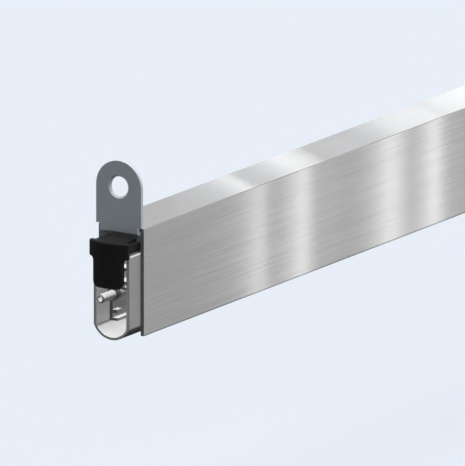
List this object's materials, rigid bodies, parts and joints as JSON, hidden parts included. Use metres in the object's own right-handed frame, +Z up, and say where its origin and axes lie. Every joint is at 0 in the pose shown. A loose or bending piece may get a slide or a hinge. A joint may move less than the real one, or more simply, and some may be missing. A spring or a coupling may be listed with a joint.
{
  "type": "automatic door bottom seal",
  "caption": "Rail for a groove under a door: a sprung trigger at one end turns bell cranks that lower a soft U-shaped seal to the floor.",
  "frame": {"origin": "centre of the fixing hole of the trigger-end lug, on the lug's back face, which bears on the door's edge", "axes": "+X along the rail from the trigger end to the far end, -Y the front of the rail, +Z up towards the door"},
  "size_m": [0.3462, 0.0144, 0.0494],
  "materials": {
    "brushed_aluminium": "extruded aluminium brushed along its length",
    "mill_aluminium": "plain mill finish extruded aluminium",
    "zinc_steel": "zinc plated steel strip, dull grey",
    "black_steel": "blackened steel",
    "cast_zinc": "die-cast zinc alloy, as cast",
    "bright_steel": "bright plated steel",
    "spring_steel": "drawn spring wire",
    "black_nylon": "moulded black nylon, satin",
    "grey_silicone": "soft grey silicone extrusion, matt"
  },
  "bodies": {
    "root": {"housing": "brushed_aluminium", "fixing_lug_trigger_end": "zinc_steel", "fixing_lug_far_end": "zinc_steel", "lug_screws": "black_steel", "pivot_block_front": "cast_zinc", "pivot_block_rear": "cast_zinc", "block_screws": "black_steel", "crank_pivot_pins": "bright_steel", "bar_guide_pins": "bright_steel", "return_spring": "spring_steel"},
    "bar": {"push_bar": "zinc_steel"},
    "trigger": {"trigger": "black_nylon", "slide_block": "cast_zinc", "trigger_pin": "bright_steel"},
    "spindle": {"adjusting_spindle": "bright_steel", "spindle_collar": "zinc_steel", "spindle_clip": "black_steel"},
    "crank_front": {"crank_front": "cast_zinc", "crank_pins_front": "bright_steel"},
    "crank_rear": {"crank_rear": "cast_zinc", "crank_pins_rear": "bright_steel"},
    "drop": {"seal_carrier": "mill_aluminium", "seal": "grey_silicone", "drop_bracket_front": "zinc_steel", "drop_bracket_rear": "zinc_steel", "bracket_rivets": "bright_steel"}
  },
  "joints": [
    {"name": "trigger_push", "type": "slide", "parent": "root", "child": "bar", "axis": [1, 0, 0], "range_m": [0, 0.0054], "stiffness_N_per_m": 500, "springref_m": -0.01, "deforming": ["return_spring"]},
    {"name": "seal_drop", "type": "slide", "parent": "root", "child": "drop", "axis": [0, 0, -1], "range_m": [0, 0.0135]},
    {"name": "crank_front_turn", "type": "hinge", "parent": "root", "child": "crank_front", "pos_m": [0.0603, 0, -0.0282], "axis": [0, 1, 0], "range_deg": [0, 44.05]},
    {"name": "crank_rear_turn", "type": "hinge", "parent": "root", "child": "crank_rear", "pos_m": [0.2433, 0, -0.0282], "axis": [0, 1, 0], "range_deg": [0, 44.05]},
    {"name": "trigger_adjust", "type": "slide", "parent": "bar", "child": "trigger", "axis": [1, 0, 0], "range_m": [-0.002, 0]},
    {"name": "spindle_turn", "type": "hinge", "parent": "trigger", "child": "spindle", "pos_m": [0, 0.0016, -0.0302], "axis": [1, 0, 0], "range_deg": [-1440, 0]}
  ],
  "couplings": [
    {"joint": "seal_drop", "follows": "trigger_push", "ratio": 2.5},
    {"joint": "crank_front_turn", "follows": "trigger_push", "rad_per_m": 142.37},
    {"joint": "crank_rear_turn", "follows": "trigger_push", "rad_per_m": 142.37},
    {"joint": "spindle_turn", "follows": "trigger_adjust", "rad_per_m": 12566}
  ]
}
